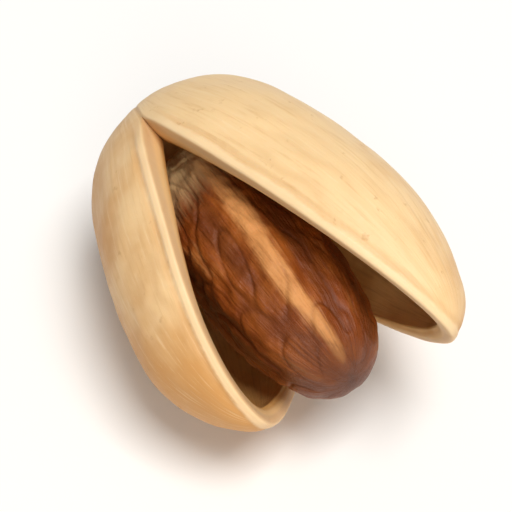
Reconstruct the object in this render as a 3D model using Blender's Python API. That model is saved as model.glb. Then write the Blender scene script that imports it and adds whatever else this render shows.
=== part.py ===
"""A roasted pistachio in its open shell: the split shell and the kernel that lies in it.

The nut is drawn in its own axes first: X runs from the stem end to the tip, Z points at the
edge that has split open the furthest, and Y is the thickness, across the split. An empty then
lays it on its flank, the way it rests on a table. Lengths are metres.
"""
import math

import bmesh
import bpy
from mathutils import Matrix, Vector

MM = 0.001

# Shell, closed
LENGTH = 19.2 * MM            # stem end to tip
HALF_HEIGHT = 6.0 * MM        # in the plane of the split, towards the open edge
HALF_DEPTH = 5.8 * MM         # and towards the opposite edge
RIGHT_THICKNESS = 5.9 * MM    # of each half, across the split
LEFT_THICKNESS = 6.5 * MM
STEM_FULLNESS = 0.18          # how much fatter the stem half is than the tip half
STEM_BLUNTNESS = 0.82         # below 1 an end is blunter than an ellipse's, above 1 more pointed
TIP_BLUNTNESS = 1.12
FLANK_ROUNDNESS = 0.92        # below 1 the flanks are fuller than an ellipse's
BEAK_RISE = 2.1 * MM          # how far the tip turns up towards the open edge
WALL = 1.0 * MM
STEM_WALL = 1.6 * MM          # thickness at the stem end
TIP_WALL = 1.1 * MM

# Split: each half swings out beyond a slanted hinge line
HINGE_TOP = 1.8 * MM          # where the split starts on the open edge, from the stem end
HINGE_BOTTOM = 8.5 * MM       # where it starts on the opposite edge
EDGE_SOFTNESS = 0.8 * MM      # length over which the swing builds up, at the split edges
FLANK_SOFTNESS = 4.0 * MM     # and in the middle of the flank
RIGHT_SPREAD = 0.27           # sideways shift per length beyond the hinge line
LEFT_SPREAD = 0.36
LEFT_TIP_SETBACK = 2.6 * MM   # the left half ends short of the right half's pointed tip

# Kernel
KERNEL_START = 2.9 * MM       # its stem end, measured from the shell's
KERNEL_LENGTH = 14.6 * MM
KERNEL_HALF_HEIGHT = 3.8 * MM
KERNEL_HALF_THICKNESS = 3.4 * MM
KERNEL_STEM_BLUNTNESS = 0.95
KERNEL_TIP_BLUNTNESS = 0.72   # the tip end is blunter than the stem end
KERNEL_TIP_FULLNESS = 0.04    # and a little fatter
KERNEL_SWING = math.radians(-2.2)     # it lies over towards the left half
KERNEL_NOD = math.radians(-4.0)       # its tip end rises towards the open edge
KERNEL_SHIFT = -0.3 * MM              # its stem end sits off centre, towards the left half
KERNEL_LIFT = 0.6 * MM                # and nearer to the open edge
FOLD_COUNT = 5
FOLD_DEPTH = 0.05             # of the kernel's radius

# How the nut lies
ROLL = math.radians(29.0)     # turned about its length, so the split looks up and sideways
PITCH = math.radians(3.0)     # tip down
FLAT_DEPTH = 0.2 * MM         # the worn spot that it rests on

# Fineness of the meshes
LENGTH_STEPS = 32
FLANK_STEPS = 12
KERNEL_LENGTH_STEPS = 22
KERNEL_ROUND_STEPS = 24
SHARP_ANGLE = math.radians(40.0)


def clear_scene():
    """Takes the starting objects away."""
    for thing in list(bpy.data.objects):
        bpy.data.objects.remove(thing, do_unlink=True)


def make_material(name, colour, roughness):
    """A plain Principled material."""
    material = bpy.data.materials.new(name)
    material.use_nodes = True
    shader = material.node_tree.nodes["Principled BSDF"]
    shader.inputs["Base Color"].default_value = (*colour, 1.0)
    shader.inputs["Roughness"].default_value = roughness
    shader.inputs["Metallic"].default_value = 0.0
    return material


def swell(turn, stem_bluntness, tip_bluntness, stem_fullness):
    """Size of a cross section along an egg, 0 at both ends and about 1 in the middle."""
    share = 0.5 - 0.5 * math.cos(turn)
    bluntness = stem_bluntness + share * (tip_bluntness - stem_bluntness)
    return math.sin(turn) ** bluntness * (1.0 + stem_fullness * math.cos(turn))


def smooth_step(value):
    """0 below 0, 1 above 1, and smooth between."""
    value = min(max(value, 0.0), 1.0)
    return value * value * (3.0 - 2.0 * value)


def distance_beyond_hinge(along, height):
    """How far a point of the closed shell lies beyond the slanted hinge line."""
    share = (HALF_HEIGHT - height) / (HALF_HEIGHT + HALF_DEPTH)
    hinge = HINGE_TOP + share * (HINGE_BOTTOM - HINGE_TOP)
    slant = math.atan2(HINGE_BOTTOM - HINGE_TOP, HALF_HEIGHT + HALF_DEPTH)
    return max(0.0, (along - hinge) * math.cos(slant))


def closed_point(side, turn, sweep, depth):
    """A point of one half of the closed shell: depth 0 is the outer face and 1 the inner one.

    side is 1 for the right half and -1 for the left one, whose width counts as positive here.
    turn goes 0 to pi from the stem end to the tip, and sweep goes 0 to pi from the open edge,
    round the flank, to the opposite edge.
    """
    start = depth * STEM_WALL
    end = LENGTH - depth * TIP_WALL
    along = start + (end - start) * (0.5 - 0.5 * math.cos(turn))
    size = swell(turn, STEM_BLUNTNESS, TIP_BLUNTNESS, STEM_FULLNESS)
    reach = HALF_HEIGHT if sweep < 0.5 * math.pi else HALF_DEPTH
    height = (reach - depth * WALL) * size * math.cos(sweep)
    height += BEAK_RISE * (along / LENGTH) ** 3
    thickness = RIGHT_THICKNESS if side > 0 else LEFT_THICKNESS
    width = (thickness - depth * WALL) * size * math.sin(sweep) ** FLANK_ROUNDNESS
    return along, width, height


def shell_point(side, turn, sweep, depth):
    """A point of the open shell: a half swings out by its distance beyond the hinge line."""
    along, width, height = closed_point(side, turn, sweep, 0)
    beyond = distance_beyond_hinge(along, height)
    softness = EDGE_SOFTNESS + (FLANK_SOFTNESS - EDGE_SOFTNESS) * width / RIGHT_THICKNESS
    slope = RIGHT_SPREAD if side > 0 else LEFT_SPREAD
    swing = slope * beyond * beyond / (beyond + softness)
    along, width, height = closed_point(side, turn, sweep, depth)
    if side < 0:
        along -= LEFT_TIP_SETBACK * smooth_step((along / LENGTH - 0.3) / 0.7)
    return Vector((along, side * (width + swing), height))


def is_joined(i, j):
    """Whether both halves share the point of a row and a column of their grids."""
    if i == 0:
        return True
    if j not in (0, FLANK_STEPS):
        return False
    along, width, height = closed_point(1, math.pi * i / LENGTH_STEPS, math.pi * j / FLANK_STEPS, 0)
    return distance_beyond_hinge(along, height) == 0.0


def make_rows(mesh, side, depth, seam):
    """The points of one half's outer or inner face; seam holds those that both halves share."""
    rows = []
    for i in range(LENGTH_STEPS + 1):
        row = []
        for j in range(FLANK_STEPS + 1):
            at_end = i in (0, LENGTH_STEPS)
            key = (depth, i, 0 if at_end else j, 0 if is_joined(i, j) else side)
            if key not in seam:
                turn = math.pi * i / LENGTH_STEPS
                sweep = 0.0 if at_end else math.pi * j / FLANK_STEPS
                seam[key] = mesh.verts.new(shell_point(side, turn, sweep, depth))
            row.append(seam[key])
        rows.append(row)
    return rows


def add_face(mesh, corners):
    """A face of the corners that differ, so that the grid closes at its ends."""
    mesh.faces.new(list(dict.fromkeys(corners)))


def add_half(mesh, side, seam):
    """Adds one half: its outer face, its inner face, and the rim between them along the split."""
    outer = make_rows(mesh, side, 0, seam)
    inner = make_rows(mesh, side, 1, seam)
    for i in range(LENGTH_STEPS):
        for j in range(FLANK_STEPS):
            for rows in (outer, inner):
                add_face(mesh, (rows[i][j], rows[i][j + 1], rows[i + 1][j + 1], rows[i + 1][j]))
        for j in (0, FLANK_STEPS):
            if not is_joined(i + 1, j):
                add_face(mesh, (outer[i][j], outer[i + 1][j], inner[i + 1][j], inner[i][j]))


def new_object(name, mesh, material, parent):
    """Turns a bmesh into a shaded object under a parent."""
    bmesh.ops.recalc_face_normals(mesh, faces=mesh.faces)
    data = bpy.data.meshes.new(name)
    mesh.to_mesh(data)
    mesh.free()
    data.shade_smooth()
    data.set_sharp_from_angle(angle=SHARP_ANGLE)
    data.materials.append(material)
    thing = bpy.data.objects.new(name, data)
    thing.parent = parent
    bpy.context.collection.objects.link(thing)
    return thing


def make_shell(parent):
    """Both halves as one wall, joined at the stem end and parted along the split."""
    mesh = bmesh.new()
    seam = {}
    for side in (1, -1):
        add_half(mesh, side, seam)
    return new_object("shell", mesh, make_material("shell_tan", (0.75, 0.50, 0.26), 0.55), parent)


def kernel_point(turn_along, sweep):
    """A point of the kernel: an egg with long shallow folds, swung over to the left half."""
    along = 0.5 * KERNEL_LENGTH * (1.0 - math.cos(turn_along))
    fold = 0.5 - 0.5 * math.cos(FOLD_COUNT * sweep)
    size = swell(turn_along, KERNEL_STEM_BLUNTNESS, KERNEL_TIP_BLUNTNESS, -KERNEL_TIP_FULLNESS)
    size *= 1.0 - FOLD_DEPTH * math.sin(turn_along) * fold
    height = KERNEL_HALF_HEIGHT * size * math.cos(sweep)
    width = KERNEL_HALF_THICKNESS * size * math.sin(sweep)
    turn = Matrix.Rotation(KERNEL_SWING, 3, "Z") @ Matrix.Rotation(KERNEL_NOD, 3, "Y")
    point = turn @ Vector((along, width, height))
    return point + Vector((KERNEL_START, KERNEL_SHIFT, KERNEL_LIFT))


def make_kernel(parent):
    """The kernel as one closed skin of rings between its two ends."""
    mesh = bmesh.new()
    ends = [mesh.verts.new(kernel_point(turn, 0.0)) for turn in (0.0, math.pi)]
    rings = []
    for i in range(1, KERNEL_LENGTH_STEPS):
        turn = math.pi * i / KERNEL_LENGTH_STEPS
        sweeps = [2.0 * math.pi * j / KERNEL_ROUND_STEPS for j in range(KERNEL_ROUND_STEPS)]
        rings.append([mesh.verts.new(kernel_point(turn, sweep)) for sweep in sweeps])
    for j in range(KERNEL_ROUND_STEPS):
        after = (j + 1) % KERNEL_ROUND_STEPS
        mesh.faces.new((ends[0], rings[0][j], rings[0][after]))
        mesh.faces.new((ends[1], rings[-1][after], rings[-1][j]))
        for low, high in zip(rings, rings[1:]):
            mesh.faces.new((low[j], low[after], high[after], high[j]))
    material = make_material("kernel_skin", (0.32, 0.12, 0.04), 0.5)
    return new_object("kernel", mesh, material, parent)


def lay_down(axes, shell):
    """Rolls the nut onto its flank and puts the middle of its footprint over the origin."""
    turn = Matrix.Rotation(PITCH, 3, "Y") @ Matrix.Rotation(ROLL, 3, "X")
    axes.rotation_euler = turn.to_euler()
    depsgraph = bpy.context.evaluated_depsgraph_get()
    walled = shell.evaluated_get(depsgraph).to_mesh()
    points = [turn @ vertex.co for vertex in walled.vertices]
    low = Vector([min(point[k] for point in points) for k in range(3)])
    high = Vector([max(point[k] for point in points) for k in range(3)])
    middle = (low + high) / 2.0
    axes.location = (-middle.x, -middle.y, -low.z - FLAT_DEPTH)


def wear_flat(shell):
    """Cuts the small flat spot under the shell with a slab that ends at the table's height."""
    mesh = bmesh.new()
    slab = Matrix.Diagonal((2.0 * LENGTH, 2.0 * LENGTH, LENGTH, 1.0))
    place = Matrix.Translation((0.0, 0.0, -0.5 * LENGTH))
    bmesh.ops.create_cube(mesh, size=1.0, matrix=place @ slab)
    cutter = new_object("table_cutter", mesh, make_material("cutter", (1.0, 1.0, 1.0), 1.0), None)
    cutter.hide_render = True
    cutter.display_type = "WIRE"
    cut = shell.modifiers.new("flat_spot", "BOOLEAN")
    cut.operation = "DIFFERENCE"
    cut.solver = "EXACT"
    cut.object = cutter


def main():
    """Builds the shell and the kernel and lays the nut down."""
    clear_scene()
    axes = bpy.data.objects.new("nut_axes", None)
    bpy.context.collection.objects.link(axes)
    shell = make_shell(axes)
    make_kernel(axes)
    lay_down(axes, shell)
    wear_flat(shell)


main()
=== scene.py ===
# %% [markdown]
# # A roasted pistachio in its open shell
# The nut lies on its flank on a pale floor. Its shell has split from the tip back towards the
# stem end, and the two halves have swung apart around the brown kernel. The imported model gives
# the size and the place of everything. This lesson replaces its two plain solids with finished
# surfaces, which are worked out with numpy from the same few dimensions.

# %% Load the frame
import math

import bpy
import numpy as np
from mathutils import Matrix, Vector


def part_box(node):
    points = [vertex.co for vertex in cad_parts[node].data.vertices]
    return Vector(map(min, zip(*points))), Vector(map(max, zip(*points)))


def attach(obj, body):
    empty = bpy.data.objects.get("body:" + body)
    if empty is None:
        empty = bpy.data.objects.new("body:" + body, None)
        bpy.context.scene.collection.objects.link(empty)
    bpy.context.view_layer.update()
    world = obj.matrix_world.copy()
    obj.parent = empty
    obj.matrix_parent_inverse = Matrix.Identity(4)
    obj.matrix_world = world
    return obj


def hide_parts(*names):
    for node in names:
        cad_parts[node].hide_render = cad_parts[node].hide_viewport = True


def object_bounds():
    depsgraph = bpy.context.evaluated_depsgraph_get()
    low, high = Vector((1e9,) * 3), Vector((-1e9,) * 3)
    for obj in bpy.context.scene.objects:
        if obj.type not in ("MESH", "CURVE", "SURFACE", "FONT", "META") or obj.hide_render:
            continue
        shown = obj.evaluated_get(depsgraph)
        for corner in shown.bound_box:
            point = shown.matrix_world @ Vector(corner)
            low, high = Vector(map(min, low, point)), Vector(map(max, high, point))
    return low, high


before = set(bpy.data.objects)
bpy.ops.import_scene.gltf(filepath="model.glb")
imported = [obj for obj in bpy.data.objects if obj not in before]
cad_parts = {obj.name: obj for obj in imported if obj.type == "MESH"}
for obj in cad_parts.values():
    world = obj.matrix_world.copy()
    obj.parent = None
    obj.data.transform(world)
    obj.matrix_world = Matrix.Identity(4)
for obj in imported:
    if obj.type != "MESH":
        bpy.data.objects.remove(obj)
cad_low, cad_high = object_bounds()
shell_low, shell_high = (np.array(corner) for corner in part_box("shell"))
MM = 0.001
print("CAD box in mm:", [round(value / MM, 2) for value in cad_high - cad_low])

# %% [markdown]
# ## The nut's own axes
# A nut is easiest to describe before it is laid down: X runs from the stem end to the tip, Z
# points at the edge that has opened the furthest, and Y is the thickness, across the split.
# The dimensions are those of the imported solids, so the finished surface fits them everywhere.

# %% Dimensions of the closed shell
LENGTH = 19.2 * MM
HALF_HEIGHT = 6.0 * MM          # towards the open edge
HALF_DEPTH = 5.8 * MM           # towards the opposite edge
RIGHT_THICKNESS = 5.9 * MM      # of each half, across the split
LEFT_THICKNESS = 6.5 * MM
STEM_FULLNESS = 0.18            # how much fatter the stem half is
STEM_BLUNTNESS = 0.82           # under 1 is blunter than an egg, over 1 more pointed
TIP_BLUNTNESS = 1.12
FLANK_ROUNDNESS = 0.92
BEAK_RISE = 2.1 * MM            # how far the tip bends towards the open edge
WALL = 1.0 * MM
STEM_WALL = 1.6 * MM
TIP_WALL = 1.1 * MM

# %% How the halves have swung apart
HINGE_TOP = 1.8 * MM            # from the stem end, on the open edge
HINGE_BOTTOM = 8.5 * MM         # and on the opposite edge
EDGE_SOFTNESS = 0.8 * MM        # length over which the swing eases in
FLANK_SOFTNESS = 4.0 * MM
RIGHT_SPREAD = 0.27             # sideways shift per length beyond the hinge line
LEFT_SPREAD = 0.36
LEFT_TIP_SETBACK = 2.6 * MM     # how much shorter the left half is
SETBACK_START = 0.3             # share of the length where the left half begins to fall short
ROLL = math.radians(29.0)       # about the length
PITCH = math.radians(3.0)       # tip down
FLAT_DEPTH = 0.2 * MM           # of the spot that the nut rests on

# %% [markdown]
# ## The closed shell
# A shell is an egg whose cross sections swell from the stem end and shrink to the tip. One
# formula gives any point of it from two parameters, so a whole grid is one line of numpy. A
# second skin, drawn with smaller sizes, is the inner face of the wall.

# %% The egg
SLOPE_STEP = 1e-4               # in turn and sweep, for measuring slopes
NO_SLOPE = 1e-16                # a cross product this small has no direction


def swell(turn, stem_bluntness, tip_bluntness, stem_fullness):
    """Cross-section size: sine of turn, to a power that changes from stem to tip, times a taper."""
    share = 0.5 - 0.5 * np.cos(turn)
    bluntness = stem_bluntness + share * (tip_bluntness - stem_bluntness)
    return np.abs(np.sin(turn)) ** bluntness * (1.0 + stem_fullness * np.cos(turn))


def closed_shell(thickness, turn, sweep, depth):
    """One half, closed: an egg of half-cosine length, cosine height and sine width.

    turn is 0 at the stem end and pi at the tip. sweep is 0 at the open edge, pi at the opposite
    one, and mirrors the half when it is negative. depth 0 is the outer face and 1 the inner one.
    """
    start = depth * STEM_WALL
    end = LENGTH - depth * TIP_WALL
    along = start + (end - start) * (0.5 - 0.5 * np.cos(turn))
    size = swell(turn, STEM_BLUNTNESS, TIP_BLUNTNESS, STEM_FULLNESS)
    reach = np.where(np.cos(sweep) > 0.0, HALF_HEIGHT, HALF_DEPTH) - depth * WALL
    height = reach * size * np.cos(sweep) + BEAK_RISE * (along / LENGTH) ** 3
    bow = np.sign(np.sin(sweep)) * np.abs(np.sin(sweep)) ** FLANK_ROUNDNESS
    width = (thickness - depth * WALL) * size * bow
    return np.stack([along + 0.0 * width, width, height], axis=-1)


def outward(thickness, turn, sweep, depth):
    """Unit normals: the cross product of the surface's slopes along turn and along sweep.

    At the stem end and the tip, where sweep makes no slope, the normal lies along the length.
    """
    by_turn = closed_shell(thickness, turn + SLOPE_STEP, sweep, depth)
    by_turn -= closed_shell(thickness, turn - SLOPE_STEP, sweep, depth)
    by_sweep = closed_shell(thickness, turn, sweep + SLOPE_STEP, depth)
    by_sweep -= closed_shell(thickness, turn, sweep - SLOPE_STEP, depth)
    normal = np.cross(by_turn, by_sweep)
    size = np.linalg.norm(normal, axis=-1, keepdims=True)
    ends = np.stack([-np.cos(turn), 0.0 * sweep, 0.0 * sweep], axis=-1)
    at_end = (size < NO_SLOPE) | (np.sin(turn)[..., None] < 1e-6)
    return np.where(at_end, ends, normal / np.maximum(size, NO_SLOPE))


# %% The grid of the two parameters
ROWS = 176
COLUMNS = 116
EDGE_CROWDING = 0.8             # 0 spaces the columns evenly, 1 crowds them at the edges
across = np.linspace(0.0, 1.0, COLUMNS + 1)
sweeps = math.pi * across - 0.5 * EDGE_CROWDING * np.sin(2.0 * math.pi * across)
turn_grid, sweep_grid = np.meshgrid(np.linspace(0.0, math.pi, ROWS + 1), sweeps, indexing="ij")
plain = closed_shell(RIGHT_THICKNESS, turn_grid, sweep_grid, 0)
print("closed half spans, mm:", np.ptp(plain.reshape(-1, 3), axis=0).round(5) / MM)

# %% [markdown]
# ## Relief
# A real shell is never a perfect egg. It has low lumps, faint veins that run from end to end, a
# raised lip and a shallow groove along the seam, and a scar where the stem was. Each of these is
# a height that is added along the surface's normal. Lumps are sums of sine waves, which repeat
# nowhere on the nut and come out the same every time.

# %% Waves


def waves(points, wavelength, count, seed):
    """A smooth random height: sines that run in random directions, summed, over root count."""
    random = np.random.default_rng(seed)
    directions = random.normal(size=(count, 3))
    directions /= np.linalg.norm(directions, axis=1, keepdims=True)
    lengths = wavelength * random.uniform(0.7, 1.4, count)
    phases = random.uniform(0.0, 2.0 * math.pi, count)
    heights = np.sin(2.0 * math.pi * (points @ directions.T) / lengths + phases)
    return heights.sum(axis=-1) / math.sqrt(count)


def smooth_step(value):
    """0 below 0, 1 above 1, and a smooth cubic between."""
    value = np.clip(value, 0.0, 1.0)
    return value * value * (3.0 - 2.0 * value)


def bump(distance, width):
    """A bell of height 1 at distance 0, which has fallen to a third at one width."""
    return np.exp(-((distance / width) ** 2))


# %% Veins, lip, groove and scar
VEIN_COUNT = 15
VEIN_HEIGHT = 0.022 * MM
VEIN_MARGIN = 1.5 * MM          # veins fade this close to the seam
LUMP_SIZE = 7.0 * MM
LUMP_HEIGHT = 0.05 * MM
DIMPLE_SIZE = 2.2 * MM
DIMPLE_HEIGHT = 0.35 * LUMP_HEIGHT
INNER_LUMP_SIZE = 4.0 * MM
INNER_LUMP_HEIGHT = 0.5 * LUMP_HEIGHT
LIP_HEIGHT = 0.05 * MM
LIP_WIDTH = 0.42 * MM           # from the seam to the lip's outer edge
LIP_EDGE = 0.20 * MM            # over which the lip falls to the flank
GROOVE_DEPTH = 0.045 * MM
GROOVE_PLACE = 0.72 * MM        # from the seam
GROOVE_WIDTH = 0.16 * MM
SUTURE_DEPTH = 0.06 * MM        # the hairline where the halves still meet
SUTURE_WIDTH = 0.09 * MM
SCAR_RADIUS = 0.90 * MM
SCAR_OFFSET = 0.35 * MM         # the scar sits a little towards the open edge
SCAR_RIM = 0.07 * MM
SCAR_RIM_WIDTH = 0.24 * MM
SCAR_DIP = 0.16 * MM
OPEN_FADE = 0.5 * MM            # a seam this far open has its full lip
JOINED_LIP = 0.2                # share of the lip's height where the halves are still joined


def vein_height(points, turn, sweep):
    """Ridges along the length: a sharpened cosine of sweep, bent a little by slow waves."""
    wander = 0.10 * waves(points, 9.0 * MM, 5, 11) + 0.04 * waves(points, 3.0 * MM, 5, 12)
    ridges = np.cos(2.0 * VEIN_COUNT * (sweep + wander))
    strength = 0.5 + 0.5 * waves(points, 5.0 * MM, 6, 13)
    return (0.5 + 0.5 * ridges) ** 2 * np.clip(strength, 0.0, 1.3) * np.sin(turn)


def opened(shift):
    """0 where the halves are joined, and 1 where the seam has opened."""
    return smooth_step(shift / OPEN_FADE)


def scar_distance(points):
    """How far a point is from the centre of the stem scar."""
    centre = np.array([0.0, 0.0, SCAR_OFFSET])
    return np.linalg.norm(points - centre, axis=-1)


def relief(points, turn, sweep, shift):
    """Height over the plain egg: lumps, veins, the seam's lip and groove, and the scar.

    shift is how far each point will swing out: the lip is fainter where the halves stay joined.
    """
    seam = np.abs(points[..., 1])
    height = LUMP_HEIGHT * waves(points, LUMP_SIZE, 9, 1)
    height += DIMPLE_HEIGHT * waves(points, DIMPLE_SIZE, 12, 2)
    height += VEIN_HEIGHT * vein_height(points, turn, sweep) * smooth_step(seam / VEIN_MARGIN)
    parted = JOINED_LIP + (1.0 - JOINED_LIP) * opened(shift)
    ends = np.sin(turn) ** 0.5
    height += LIP_HEIGHT * ends * parted * (1.0 - smooth_step((seam - LIP_WIDTH) / LIP_EDGE))
    height -= GROOVE_DEPTH * ends * parted * bump(seam - GROOVE_PLACE, GROOVE_WIDTH)
    height -= SUTURE_DEPTH * ends * bump(seam, SUTURE_WIDTH)
    scar = scar_distance(points)
    height += SCAR_RIM * bump(scar - SCAR_RADIUS, SCAR_RIM_WIDTH)
    height -= SCAR_DIP * (1.0 - smooth_step(2.0 * scar / SCAR_RADIUS - 1.0))
    return height


# %% [markdown]
# ## Opening the shell
# The halves hinge at the stem end, along a line that slants from the open edge to the opposite
# one. Each point swings sideways by its distance beyond that line, so the split is a clean V.
# Points of the seam that lie behind the line don't move, and there the halves stay one wall.

# %% The swing


def beyond_hinge(points):
    """Distance of closed-shell points beyond the slanted hinge line, 0 behind it."""
    share = (HALF_HEIGHT - points[..., 2]) / (HALF_HEIGHT + HALF_DEPTH)
    hinge = HINGE_TOP + share * (HINGE_BOTTOM - HINGE_TOP)
    slant = math.atan2(HINGE_BOTTOM - HINGE_TOP, HALF_HEIGHT + HALF_DEPTH)
    return np.maximum(0.0, (points[..., 0] - hinge) * math.cos(slant))


def swing(points, spread):
    """Sideways shift: spread times the distance beyond the hinge, easing in over a softness."""
    beyond = beyond_hinge(points)
    softness = EDGE_SOFTNESS + (FLANK_SOFTNESS - EDGE_SOFTNESS) * points[..., 1] / RIGHT_THICKNESS
    return spread * beyond * beyond / (beyond + softness)


joined_top = beyond_hinge(plain[:, 0]) == 0.0
joined_bottom = beyond_hinge(plain[:, -1]) == 0.0
print("rows joined on the open edge:", joined_top.sum(), "and opposite:", joined_bottom.sum())

# %% [markdown]
# ## Rounding the rims
# Where the shell has split, its edge is a worn round rim and not a knife's corner. Near the seam
# the outer face is pulled in and the inner face pushed out, each along a quarter circle, and the
# pull fades to nothing where the split ends.

# %% Quarter-circle pull
OUTER_ROUND = 0.24 * MM
INNER_ROUND = 0.16 * MM
ROUND_FADE = 0.25 * MM          # the rims are fully round once they are this far apart


def round_over(points, shift, radius):
    """How far to pull a face at its edge: the drop of a quarter circle at the seam distance."""
    radius = radius * smooth_step(shift / ROUND_FADE)
    inside = np.clip(radius - points[..., 1], 0.0, None)
    return radius - np.sqrt(np.maximum(radius**2 - inside**2, 0.0))


# %% The two faces of one half


def half_faces(side):
    """Outer and inner face of one half, swung open: closed point plus normal times height."""
    spread = RIGHT_SPREAD if side > 0 else LEFT_SPREAD
    thickness = RIGHT_THICKNESS if side > 0 else LEFT_THICKNESS
    closed = closed_shell(thickness, turn_grid, sweep_grid, 0)
    shift = swing(closed, spread)
    mirrored = closed * np.array([1.0, side, 1.0])
    faces = []
    for depth, radius, sign in ((0, OUTER_ROUND, -1.0), (1, INNER_ROUND, 1.0)):
        points = closed_shell(thickness, turn_grid, sweep_grid, depth)
        if depth == 0:
            height = relief(mirrored, turn_grid, sweep_grid, shift)
        else:
            height = INNER_LUMP_HEIGHT * waves(mirrored, INNER_LUMP_SIZE, 8, 3)
        height = height + sign * round_over(points, shift, radius)
        points = points + outward(thickness, turn_grid, sweep_grid, depth) * height[..., None]
        points[..., 1] = side * (np.maximum(points[..., 1], 0.0) + shift)
        if side < 0:
            share = (points[..., 0] / LENGTH - SETBACK_START) / (1.0 - SETBACK_START)
            points[..., 0] -= LEFT_TIP_SETBACK * smooth_step(share)
        faces.append(points)
    return faces


right_faces = half_faces(1.0)
left_faces = half_faces(-1.0)
tip_gap = right_faces[0][-1, 0, 1] - left_faces[0][-1, 0, 1]
print("gap between the tips, mm:", round(float(tip_gap) / MM, 2))

# %% [markdown]
# ## Sewing the grids together
# The four grids and the rims between them become one closed skin. Every grid point gets a
# number. Points that are really one point, such as the seam behind the hinge line or a grid's
# collapsed ends, get the same number, and then the faces join up by themselves.

# %% The skin's book-keeping


class Skin:
    """Collects grids of points and the faces between them, with points shared by number."""

    def __init__(self):
        self.points = []
        self.values = []
        self.count = 0
        self.quads = []

    def add(self, points, **values):
        """Adds a grid and its named values, and returns the grid of its point numbers."""
        numbers = np.arange(self.count, self.count + points[..., 0].size)
        self.count += numbers.size
        self.points.append(points.reshape(-1, 3))
        grid = points.shape[:-1]
        self.values.append({name: np.broadcast_to(value, grid).ravel()
                            for name, value in values.items()})
        return numbers.reshape(grid)

    def cover(self, numbers, flip):
        """Adds the quads of a grid of point numbers; flip turns them to face the other way."""
        corners = [numbers[:-1, :-1], numbers[1:, :-1], numbers[1:, 1:], numbers[:-1, 1:]]
        quads = np.stack(corners, axis=-1).reshape(-1, 4)
        self.quads.append(quads[:, ::-1] if flip else quads)

    def mesh(self, name):
        """Makes the mesh: quads that collapsed to a triangle lose their doubled corner."""
        quads = np.concatenate(self.quads)
        used, renumbered = np.unique(quads, return_inverse=True)
        quads = renumbered.reshape(-1, 4)
        points = np.concatenate(self.points)[used]
        faces = [list(dict.fromkeys(quad)) for quad in quads.tolist()]
        faces = [face for face in faces if len(face) > 2]
        mesh = bpy.data.meshes.new(name)
        mesh.from_pydata(points.tolist(), [], faces)
        for value_name in self.values[0]:
            values = np.concatenate([part[value_name] for part in self.values])[used]
            attribute = mesh.attributes.new(value_name, "FLOAT", "POINT")
            attribute.data.foreach_set("value", values.astype(np.float32))
        mesh.shade_smooth()
        mesh.validate()
        mesh.update()
        return mesh


def share_ends(numbers):
    """Gives a grid's first row, and its last, one point number each."""
    numbers[0, :] = numbers[0, 0]
    numbers[-1, :] = numbers[-1, 0]
    return numbers


# %% The outer and inner faces of both halves
# Each point carries where it is along and around the shell, how far from the seam and from the
# scar (in mm), how far open its seam is, and whether it is inside, on a vein, left or right.
vein_value = vein_height(plain, turn_grid, sweep_grid)
open_value = opened(swing(plain, RIGHT_SPREAD))
scar_value = scar_distance(plain) / MM
skin = Skin()
half_numbers = {}
for side, faces in ((1, right_faces), (-1, left_faces)):
    numbers = []
    for depth, points in enumerate(faces):
        grid = skin.add(points, along=plain[..., 0] / LENGTH, around=sweep_grid / math.pi,
                        seam=plain[..., 1] / MM, inside=float(depth), vein=vein_value,
                        half=float(side), open=open_value, scar=scar_value)
        numbers.append(share_ends(grid))
    half_numbers[side] = numbers
    if side < 0:
        for left, right in zip(numbers, half_numbers[1]):
            left[0, :] = right[0, 0]
            left[joined_top, 0] = right[joined_top, 0]
            left[joined_bottom, -1] = right[joined_bottom, -1]
    skin.cover(numbers[0], flip=side < 0)
    skin.cover(numbers[1], flip=side > 0)

# %% The rims: straight lines from the outer face's edge to the inner one's, with a low crown
RIM_STEPS = 5
RIM_CROWN = 0.05 * MM           # how far the rim's middle stands proud
FAR_FROM_SCAR = 9.0             # mm
rim_shares = np.linspace(0.0, 1.0, RIM_STEPS + 1)


def rim_points(faces, column, side):
    """Points across one rim: a line between the two faces' edges, arched sideways a little."""
    shares = rim_shares[None, :, None]
    points = (1.0 - shares) * faces[0][:, column, None] + shares * faces[1][:, column, None]
    points[..., 1] -= side * RIM_CROWN * np.sin(math.pi * rim_shares)
    return points


rims = {}
for side, faces in ((1, right_faces), (-1, left_faces)):
    outer, inner = half_numbers[side]
    for edge, column, joined in (("top", 0, joined_top), ("bottom", -1, joined_bottom)):
        points = rim_points(faces, column, side)
        points[joined, :, 1] = 0.0
        grid = skin.add(points, along=plain[:, column, 0, None] / LENGTH,
                        around=sweep_grid[0, column] / math.pi, seam=0.0, inside=rim_shares,
                        vein=0.0, half=float(side), open=1.0, scar=FAR_FROM_SCAR)
        grid[:, 0] = outer[:, column]
        grid[:, -1] = inner[:, column]
        if edge == "bottom":
            grid[-1] = rims[side, "top"][-1]
        if side < 0:
            grid[joined] = rims[1, edge][joined]
        rims[side, edge] = grid
        last_joined = joined.sum() - 1
        skin.cover(grid[last_joined:], flip=(side > 0) == (edge == "top"))

shell_mesh = skin.mesh("pistachio_shell")
print("shell faces:", len(shell_mesh.polygons))

# %% [markdown]
# ## Laying the nut down
# The nut is rolled and pitched about its own axes, then moved so that its outline fills the CAD
# shell's box. The lowest point sinks by the depth of the flat spot, and the small cap that would
# be under the floor is pressed level, which is the spot the nut rests on.

# %% The turn and the shift


def turned(angle, axis):
    """The 3 x 3 matrix of a turn about X, Y or Z."""
    return np.array(Matrix.Rotation(angle, 3, axis))


laying = turned(PITCH, "Y") @ turned(ROLL, "X")


def mesh_points(mesh):
    """The mesh's points as one array."""
    points = np.empty(3 * len(mesh.vertices), dtype=np.float32)
    mesh.vertices.foreach_get("co", points)
    return points.reshape(-1, 3).astype(float)


def set_points(mesh, points):
    """Puts an array of points back into the mesh."""
    mesh.vertices.foreach_set("co", points.astype(np.float32).ravel())
    mesh.update()


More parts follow.
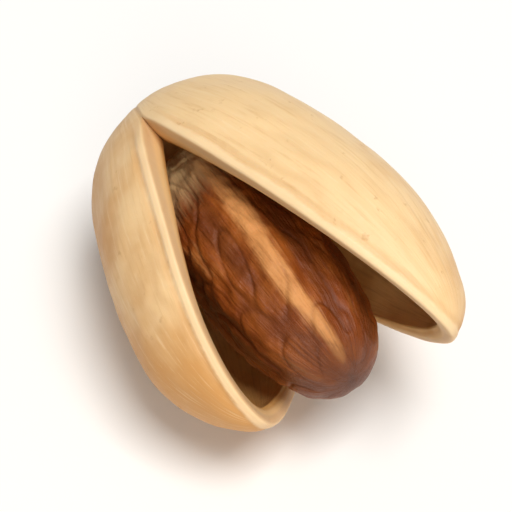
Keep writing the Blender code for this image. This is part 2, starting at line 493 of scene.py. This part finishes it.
laid = mesh_points(shell_mesh) @ laying.T
laid_low, laid_high = laid.min(axis=0), laid.max(axis=0)
shift = 0.5 * (shell_low + shell_high) - 0.5 * (laid_low + laid_high)
shift[2] = shell_low[2] - laid_low[2] - FLAT_DEPTH
laid = laid + shift
laid[:, 2] = np.maximum(laid[:, 2], shell_low[2])
set_points(shell_mesh, laid)
print("laid shell, mm:", (laid.max(axis=0) - laid.min(axis=0)).round(5) / MM)


def new_piece(mesh, node):
    """Makes the object of a finished mesh, which rides on the root and stands for a CAD node."""
    piece = bpy.data.objects.new(mesh.name, mesh)
    bpy.context.scene.collection.objects.link(piece)
    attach(piece, "root")
    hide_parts(node)
    return piece


shell = new_piece(shell_mesh, "shell")

# %% [markdown]
# ## The kernel
# The kernel is a smaller egg in a papery skin that has dried into long folds. Each fold is a
# ridge that runs from end to end and wanders a little to either side. The folds are bells of the
# angle round the kernel, added up. The tallest one faces the split and catches the light.

# %% Dimensions of the kernel
KERNEL_START = 2.9 * MM         # from the stem end
KERNEL_LENGTH = 14.6 * MM
KERNEL_HALF_HEIGHT = 3.8 * MM
KERNEL_HALF_THICKNESS = 3.4 * MM
KERNEL_STEM_BLUNTNESS = 0.95
KERNEL_TIP_BLUNTNESS = 0.72
KERNEL_TIP_FULLNESS = 0.04      # how much fatter the tip half is
KERNEL_SWING = math.radians(-2.2)   # tip towards the left half
KERNEL_NOD = math.radians(-4.0)     # tip towards the open edge
KERNEL_SHIFT = -0.3 * MM
KERNEL_LIFT = 0.6 * MM
FOLD_DEPTH = 0.40 * MM          # from a ridge's top to the skin between the folds
FOLD_FADE = 0.38                # the folds die out this far, as a turn, before the blunt end
HIGHEST_FOLD = 1.15             # where folds meet they pile up to this and no higher
WRINKLE_STRETCH = 0.35          # wrinkles are longer along the kernel by one over this
CREASE_DEPTH = 0.30             # share of the fold depth
CREASE_WIDTH = 0.16             # how near to 0 a wave must be to make a crease
END_TAPER = 0.7                 # power of the sine that calms the folds at both ends
FOLDS = (
    # angle from the open edge, half width, height, wander, patchiness (angles in degrees)
    (19.0, 14.0, 1.05, 4.0, 0.03),
    (-16.0, 8.0, 0.35, 6.0, 0.25),
    (-42.0, 13.0, 0.75, 7.0, 0.25),
    (60.0, 12.0, 0.65, 6.0, 0.25),
    (-80.0, 12.0, 0.60, 8.0, 0.25),
    (96.0, 13.0, 0.75, 7.0, 0.25),
    (-118.0, 15.0, 0.70, 8.0, 0.25),
    (134.0, 14.0, 0.60, 8.0, 0.25),
    (-152.0, 12.0, 0.50, 8.0, 0.25),
    (173.0, 14.0, 0.80, 6.0, 0.25),
)

# %% The folded surface


def fold_height(turn, sweep):
    """Sum of bells round the kernel; each bell's centre wanders as two sines along the length."""
    height = np.zeros_like(turn)
    for count, (angle, width, tallness, wander, patchiness) in enumerate(FOLDS):
        centre = angle + wander * np.sin(2.1 * turn + 1.7 * count)
        centre += 0.35 * wander * np.sin(5.3 * turn + 2.9 * count)
        away = (np.degrees(sweep) - centre + 180.0) % 360.0 - 180.0
        fade = 1.0 - patchiness + patchiness * np.sin(3.1 * turn + 2.3 * count)
        height += tallness * fade * bump(away, width)
    return np.clip(height, 0.0, HIGHEST_FOLD) * smooth_step((math.pi - turn) / FOLD_FADE)


def kernel_surface(turn, sweep):
    """An egg whose radius drops by the fold depth where there is no ridge, with fine wrinkles.

    Creases are narrow valleys that follow the zero lines of one more wave. They are shallower
    on the ridges. Returns the points, the fold height and the crease strength.
    """
    size = swell(turn, KERNEL_STEM_BLUNTNESS, KERNEL_TIP_BLUNTNESS, -KERNEL_TIP_FULLNESS)
    along = KERNEL_LENGTH * (0.5 - 0.5 * np.cos(turn))
    height = KERNEL_HALF_HEIGHT * size * np.cos(sweep)
    width = KERNEL_HALF_THICKNESS * size * np.sin(sweep)
    points = np.stack([along, width, height], axis=-1)
    folds = fold_height(turn, sweep)
    stretched = points * np.array([WRINKLE_STRETCH, 1.0, 1.0])
    wrinkles = 0.10 * waves(stretched, 1.3 * MM, 18, 21)
    wrinkles += 0.07 * waves(stretched, 0.6 * MM, 20, 22)
    wrinkles += 0.09 * waves(points, 0.9 * MM, 16, 23)
    creases = bump(waves(stretched, 1.7 * MM, 12, 24), CREASE_WIDTH)
    creases *= 1.0 - 0.6 * np.clip(folds, 0.0, 1.0)
    drop = FOLD_DEPTH * (1.0 - folds + wrinkles + CREASE_DEPTH * creases)
    drop = drop * np.sin(turn) ** END_TAPER
    radial = np.stack([0.0 * sweep, np.sin(sweep), np.cos(sweep)], axis=-1)
    return points - radial * drop[..., None], folds, creases


KERNEL_ROWS = 220
KERNEL_COLUMNS = 280
kernel_turns = np.linspace(0.0, math.pi, KERNEL_ROWS + 1)
kernel_sweeps = np.linspace(0.0, 2.0 * math.pi, KERNEL_COLUMNS + 1)
kernel_turn, kernel_sweep = np.meshgrid(kernel_turns, kernel_sweeps, indexing="ij")
kernel_points, fold_value, crease_value = kernel_surface(kernel_turn, kernel_sweep)
kernel_skin = Skin()
kernel_numbers = kernel_skin.add(kernel_points, along=kernel_points[..., 0] / KERNEL_LENGTH,
                                 side=np.sin(kernel_sweep), top=np.cos(kernel_sweep),
                                 fold=fold_value, crease=crease_value)
share_ends(kernel_numbers)
kernel_numbers[:, -1] = kernel_numbers[:, 0]
kernel_skin.cover(kernel_numbers, flip=False)
kernel_mesh = kernel_skin.mesh("pistachio_kernel")

# %% Into the shell
leaning = turned(KERNEL_SWING, "Z") @ turned(KERNEL_NOD, "Y")
placed = mesh_points(kernel_mesh) @ leaning.T
placed += np.array([KERNEL_START, KERNEL_SHIFT, KERNEL_LIFT])
set_points(kernel_mesh, placed @ laying.T + shift)
kernel = new_piece(kernel_mesh, "kernel")
print("kernel faces:", len(kernel_mesh.polygons))

# %% [markdown]
# ## Writing shader maths as Python
# A material is a graph of small sums. Written node by node it is long and hard to read, so one
# class wraps a socket and lets Python's operators add the Math nodes. A second class makes every
# other node from its type, its settings and its sockets.

# %% The two small classes


class Wire:
    """A value in a material: an output socket, with operators that add Math nodes."""

    def __init__(self, paint, socket):
        self.paint = paint
        self.socket = socket

    def math(self, operation, first, second):
        """One Math node."""
        return self.paint.node("ShaderNodeMath", {"operation": operation}, {0: first, 1: second})

    def __add__(self, other):
        return self.math("ADD", self, other)

    def __mul__(self, other):
        return self.math("MULTIPLY", self, other)

    def __sub__(self, other):
        return self.math("SUBTRACT", self, other)

    def __rsub__(self, other):
        return self.math("SUBTRACT", other, self)

    __radd__ = __add__
    __rmul__ = __mul__


class Paint:
    """One material's node tree, with a Principled shader at its end."""

    def __init__(self, name):
        self.material = bpy.data.materials.new(name)
        self.material.use_nodes = True
        self.tree = self.material.node_tree
        self.shader = self.tree.nodes["Principled BSDF"]

    def node(self, kind, settings, sockets, output=0):
        """Adds a node: its settings first, then a value or a wire for each socket."""
        made = self.tree.nodes.new(kind)
        for name, value in settings.items():
            setattr(made, name, value)
        for name, value in sockets.items():
            self.feed(made.inputs[name], value)
        return Wire(self, made.outputs[output])

    def feed(self, socket, value):
        """Links a wire to a socket, or sets the socket's own value."""
        if isinstance(value, Wire):
            self.tree.links.new(value.socket, socket)
        else:
            socket.default_value = value

    def set(self, name, value):
        """Sets a shader input that is the same all over."""
        self.shader.inputs[name].default_value = value

    def value(self, name):
        """A number that the mesh carries at its points."""
        return self.node("ShaderNodeAttribute", {"attribute_name": name}, {}, 2)

    def mix(self, factor, first, second):
        """A colour between two colours."""
        settings = {"data_type": "RGBA"}
        return self.node("ShaderNodeMix", settings, {0: factor, 6: first, 7: second}, 2)

    def range(self, value, low, high):
        """A value's place between low and high, eased, and held to 0 to 1."""
        settings = {"interpolation_type": "SMOOTHSTEP"}
        return self.node("ShaderNodeMapRange", settings, {0: value, 1: low, 2: high})

    def layer(self, under, colour, amount, value, low, high):
        """Lays a colour over another, from none where value is low to amount where it is high."""
        return self.mix(self.range(value, low, high) * amount, under, colour)

    def vector(self, x, y, z):
        """A vector of three numbers."""
        return self.node("ShaderNodeCombineXYZ", {}, {0: x, 1: y, 2: z})

    def noise(self, vector, scale, detail, roughness=0.55):
        """Cloudy noise of 0 to 1."""
        sockets = {"Vector": vector, "Scale": scale, "Detail": detail, "Roughness": roughness}
        return self.node("ShaderNodeTexNoise", {}, sockets)

    def place(self):
        """The point's own place on the piece, in metres."""
        return self.node("ShaderNodeTexCoord", {}, {}, 3)

    def bumped(self, height, distance):
        """A normal from a height, for the shader's Normal."""
        sockets = {"Strength": 1.0, "Distance": distance, "Height": height}
        return self.node("ShaderNodeBump", {}, sockets)

    def soften(self, weight, radius, scale):
        """Lets a little light through the surface, red the furthest."""
        self.set("Subsurface Weight", weight)
        self.set("Subsurface Radius", radius)
        self.set("Subsurface Scale", scale)


def tint(red, green, blue):
    """A colour given as display values of 0 to 255, turned into the linear light of a shader."""
    shares = (value / 255.0 for value in (red, green, blue))
    linear = [s / 12.92 if s <= 0.04045 else ((s + 0.055) / 1.055) ** 2.4 for s in shares]
    return (*linear, 1.0)


# %% [markdown]
# ## The shell's finish
# Outside, a roasted shell is pale cream over warm tan: cloudy patches a few millimetres across,
# lengthwise streaks finer than a hair, a paler lip along the split and a brown stem scar. More tan
# is laid on as painted shade on the left half and down the flanks, away from the open edge.
# Inside it is smoother and darker. All of it is driven by the numbers that the mesh carries,
# so every streak follows the surface from end to end.

# %% The shell's colours and grain
CREAM = tint(240, 206, 155)
# The tan also serves as the painted shade of the left half and the flanks.
TAN_AND_PAINTED_SHADE = tint(206, 150, 86)
DARK_STREAK = tint(202, 152, 94)
PALE_STREAK = tint(247, 222, 180)
VEIN_TAN = tint(204, 156, 98)
SPECK_BROWN = tint(178, 124, 68)
STEM_TAN = tint(196, 142, 84)
SCAR_HALO = tint(232, 196, 146)
SCAR_BROWN = tint(104, 60, 28)
GROOVE_TAN = tint(200, 148, 90)
LIP_CREAM = tint(250, 222, 178)
SUTURE_BROWN = tint(170, 118, 66)
RIM_TAN = tint(226, 184, 128)
INSIDE_PALE = tint(228, 180, 116)
INSIDE_DARK = tint(204, 150, 84)
INSIDE_STREAK = tint(160, 108, 56)
CLOUDS_PER_METRE = 330.0
SPECKS_PER_METRE = 1700.0
PORE_DEPTH = 0.045 * MM

# %% Shell material


def shell_paint():
    """Cream and tan by noise and by painted shade, streaks along the length, a pale rim, a dark
    scar, a dull inside.
    """
    paint = Paint("shell_finish")
    along, around, seam = paint.value("along"), paint.value("around"), paint.value("seam")
    inside, vein, half = paint.value("inside"), paint.value("vein"), paint.value("half")
    open_seam, scar = paint.value("open"), paint.value("scar")
    place = paint.place()
    clouds = paint.noise(place, CLOUDS_PER_METRE, 3.0)
    specks = paint.noise(place, SPECKS_PER_METRE, 4.0)
    flow = paint.vector(along * 2.2, around * 26.0, half * 3.0)
    streaks = paint.noise(flow, 3.0, 5.0, 0.65)

    # Tan comes in cloudy patches and grows towards the tips; painted shade adds more on the left
    # half and down the flanks, away from the open edge.
    tan_and_painted_shade = around + 0.9 * (clouds - 0.5) - 0.24 * half + 0.20 * paint.range(along, 0.55, 1.00)
    outer = paint.layer(CREAM, TAN_AND_PAINTED_SHADE, 1.0, tan_and_painted_shade, 0.04, 0.70)
    outer = paint.layer(outer, DARK_STREAK, 0.36, streaks, 0.50, 0.74)
    outer = paint.layer(outer, PALE_STREAK, 0.36, streaks, 0.48, 0.28)
    outer = paint.mix(vein * 0.22, outer, VEIN_TAN)
    outer = paint.layer(outer, SPECK_BROWN, 0.36, specks, 0.64, 0.74)

    # The stem end has a brown scar with a pale ring.
    outer = paint.layer(outer, STEM_TAN, 0.35, along, 0.10, 0.0)
    ragged_scar = scar + 0.5 * (specks - 0.5)
    outer = paint.layer(outer, SCAR_HALO, 0.7, ragged_scar, 1.30, 1.00)
    outer = paint.layer(outer, SCAR_BROWN, 0.9, ragged_scar, 0.80, 0.55)

    # The seam has a pale lip between a tan groove and a brown hairline.
    ragged = seam + 0.50 * (clouds - 0.5) + 0.25 * (specks - 0.5)
    lip = 0.15 + 0.85 * open_seam
    outer = paint.layer(outer, GROOVE_TAN, lip * 0.25, ragged, 1.00, 0.72)
    outer = paint.layer(outer, LIP_CREAM, lip * 0.60, ragged, 0.66, 0.42)
    outer = paint.layer(outer, SUTURE_BROWN, 0.45, seam, 0.16, 0.04)

    # Across the rim the outer colour gives way to the rim's, and that to the inner colour.
    inner = paint.layer(INSIDE_PALE, INSIDE_DARK, 1.0, clouds, 0.35, 0.65)
    inner = paint.layer(inner, INSIDE_STREAK, 0.4, streaks, 0.45, 0.70)
    outer = paint.layer(outer, RIM_TAN, 1.0, inside, 0.12, 0.45)
    colour = paint.layer(outer, inner, 1.0, inside, 0.60, 0.98)

    paint.feed(paint.shader.inputs["Base Color"], colour)
    rough = 0.50 + 0.16 * (specks - 0.5) + 0.12 * (clouds - 0.5) - 0.08 * inside
    paint.feed(paint.shader.inputs["Roughness"], rough)
    pores = 0.55 * specks + 0.45 * streaks
    paint.feed(paint.shader.inputs["Normal"], paint.bumped(pores, PORE_DEPTH))
    paint.set("Specular IOR Level", 0.30)
    paint.soften(0.12, (1.0, 0.6, 0.3), 0.6 * MM)
    return paint.material


shell.data.materials.append(shell_paint())
print("shell finish:", len(shell.data.materials[0].node_tree.nodes), "nodes")

# %% [markdown]
# ## The kernel's finish
# The skin of a roasted kernel is red-brown. Painted shade darkens it in the folds, in the creases
# and at the blunt end, and the ridges are worn to a light orange-tan that is partly a painted
# highlight. It has a slight oily sheen, which breaks up over fine wrinkles.

# %% The kernel's colours and grain
SKIN_DARK = tint(128, 62, 18)
SKIN_LIGHT = tint(156, 84, 28)
FIBRE_BROWN = tint(120, 56, 22)
# The worn tan of the ridges is partly a painted highlight.
WORN_TAN_AND_HIGHLIGHT = tint(222, 156, 92)
# Painted shade for the creases and for the valleys between the folds.
CREASE_SHADE = tint(80, 34, 13)
VALLEY_SHADE = tint(96, 46, 16)
PAPERY_CREAM = tint(240, 204, 148)
# Painted shade for the blunt end.
END_SHADE = tint(100, 50, 20)
MOTTLES_PER_METRE = 520.0
GRAINS_PER_METRE = 2600.0
WRINKLE_DEPTH = 0.16 * MM

# %% Kernel material


def kernel_paint():
    """Red-brown skin, worn tan and painted highlight on the ridges, painted shade in folds, creases
    and at the blunt end, papery at the stem.
    """
    paint = Paint("kernel_finish")
    along, fold, crease = paint.value("along"), paint.value("fold"), paint.value("crease")
    place = paint.place()
    mottle = paint.noise(place, MOTTLES_PER_METRE, 4.0, 0.6)
    grain = paint.noise(place, GRAINS_PER_METRE, 4.0, 0.6)
    flow = paint.vector(along * 1.6, paint.value("side") * 4.0, paint.value("top") * 4.0)
    fibres = paint.noise(flow, 4.0, 6.0, 0.62)

    skin_colour = paint.layer(SKIN_DARK, SKIN_LIGHT, 1.0, mottle, 0.35, 0.65)
    skin_colour = paint.layer(skin_colour, FIBRE_BROWN, 0.6, fibres, 0.52, 0.68)
    # The ridges are worn to tan, and the tan is partly a painted highlight along them.
    wear_and_highlight = paint.range(fold + 0.6 * (mottle - 0.5) + 0.9 * (fibres - 0.5), 0.50, 1.05)
    skin_colour = paint.mix(wear_and_highlight * 0.85, skin_colour, WORN_TAN_AND_HIGHLIGHT)
    # Painted shade in the creases and in the valleys between the folds.
    skin_colour = paint.mix(crease * 0.45, skin_colour, CREASE_SHADE)
    skin_colour = paint.layer(skin_colour, VALLEY_SHADE, 0.60, fold, 0.35, 0.05)
    ragged_stem = along + 0.20 * (fibres - 0.5)
    skin_colour = paint.layer(skin_colour, PAPERY_CREAM, 0.9, ragged_stem, 0.36, 0.10)
    # Painted shade darkens the blunt end, with a ragged edge.
    ragged_end_shade = along + 0.35 * (mottle - 0.5) + 0.35 * (fibres - 0.5)
    skin_colour = paint.layer(skin_colour, END_SHADE, 0.65, ragged_end_shade, 0.84, 1.0)

    paint.feed(paint.shader.inputs["Base Color"], skin_colour)
    rough = 0.42 + 0.25 * (grain - 0.5) + 0.10 * wear_and_highlight
    paint.feed(paint.shader.inputs["Roughness"], rough)
    wrinkles = 0.4 * grain + 0.6 * fibres
    paint.feed(paint.shader.inputs["Normal"], paint.bumped(wrinkles, WRINKLE_DEPTH))
    paint.set("Specular IOR Level", 0.32)
    paint.soften(0.08, (1.0, 0.4, 0.2), 0.5 * MM)
    return paint.material


kernel.data.materials.append(kernel_paint())
print("kernel finish:", len(kernel.data.materials[0].node_tree.nodes), "nodes")

# %% [markdown]
# ## The stage
# A seamless pale floor, a broad soft lamp high on one side, a weaker warm one in front, which
# shines into the split, and a plain white surround. The camera looks down into the split from
# the tip's side, through a long lens, so that near and far parts of so small a thing keep their
# true proportions.

# %% Floor
FLOOR_HALF = 60 * LENGTH
FLOOR_WHITE = (0.90, 0.895, 0.885, 1.0)
floor_mesh = bpy.data.meshes.new("floor")
floor_corners = [(-FLOOR_HALF, -FLOOR_HALF, 0), (FLOOR_HALF, -FLOOR_HALF, 0),
                 (FLOOR_HALF, FLOOR_HALF, 0), (-FLOOR_HALF, FLOOR_HALF, 0)]
floor_mesh.from_pydata(floor_corners, [], [(0, 1, 2, 3)])
floor = bpy.data.objects.new("floor", floor_mesh)
floor.location.z = cad_low[2]
bpy.context.scene.collection.objects.link(floor)
floor_paint = Paint("floor_finish")
floor_paint.set("Base Color", FLOOR_WHITE)
floor_paint.set("Roughness", 0.9)
floor_mesh.materials.append(floor_paint.material)

# %% Lamps


def aim(thing, target):
    """Turns a lamp or a camera so that it looks at a point."""
    direction = target - thing.location
    thing.rotation_euler = direction.to_track_quat("-Z", "Y").to_euler()


def around_nut(azimuth, elevation, distance):
    """A place round the nut: azimuth 0 is in front, on the -Y side, and 90 on the +X side."""
    turn, rise = math.radians(azimuth), math.radians(elevation)
    flat = distance * math.cos(rise)
    away = Vector((flat * math.sin(turn), -flat * math.cos(turn), distance * math.sin(rise)))
    return middle + away


def add_lamp(name, azimuth, elevation, size, watts, colour):
    """A square soft lamp that looks at the nut from the lamps' common distance."""
    data = bpy.data.lights.new(name, "AREA")
    data.size = size
    data.energy = watts
    data.color = colour
    lamp = bpy.data.objects.new(name, data)
    lamp.location = around_nut(azimuth, elevation, LAMP_DISTANCE)
    aim(lamp, middle)
    bpy.context.scene.collection.objects.link(lamp)


middle = (cad_low + cad_high) / 2.0
CAMERA_AZIMUTH = 55.0
CAMERA_ELEVATION = 50.0
LAMP_DISTANCE = 1.20
add_lamp("key", azimuth=CAMERA_AZIMUTH + 48.0, elevation=72.0, size=0.54, watts=13.0,
         colour=(1.0, 0.985, 0.965))
add_lamp("fill", azimuth=CAMERA_AZIMUTH + 8.0, elevation=36.0, size=0.60, watts=3.8,
         colour=(1.0, 0.90, 0.77))

# %% Surround
SURROUND_STRENGTH = 0.23
world = bpy.data.worlds.new("surround")
world.use_nodes = True
background = world.node_tree.nodes["Background"]
background.inputs["Color"].default_value = (1.0, 1.0, 1.0, 1.0)
background.inputs["Strength"].default_value = SURROUND_STRENGTH
bpy.context.scene.world = world
bpy.context.scene.view_settings.view_transform = "Standard"

# %% Camera
LENS = 100.0
SENSOR = 36.0
FILL = 1.18                     # the box's diagonal over the picture's width
CLIP_START = 0.01
reach = (cad_high - cad_low).length
camera_data = bpy.data.cameras.new("camera")
camera_data.lens = LENS
camera_data.sensor_width = SENSOR
camera = bpy.data.objects.new("camera", camera_data)
camera.location = around_nut(CAMERA_AZIMUTH, CAMERA_ELEVATION, reach * LENS / SENSOR / FILL)
aim(camera, middle)
camera_data.clip_start = CLIP_START
bpy.context.scene.collection.objects.link(camera)
bpy.context.scene.camera = camera
print("camera distance, mm:", round((camera.location - middle).length / MM, 1))
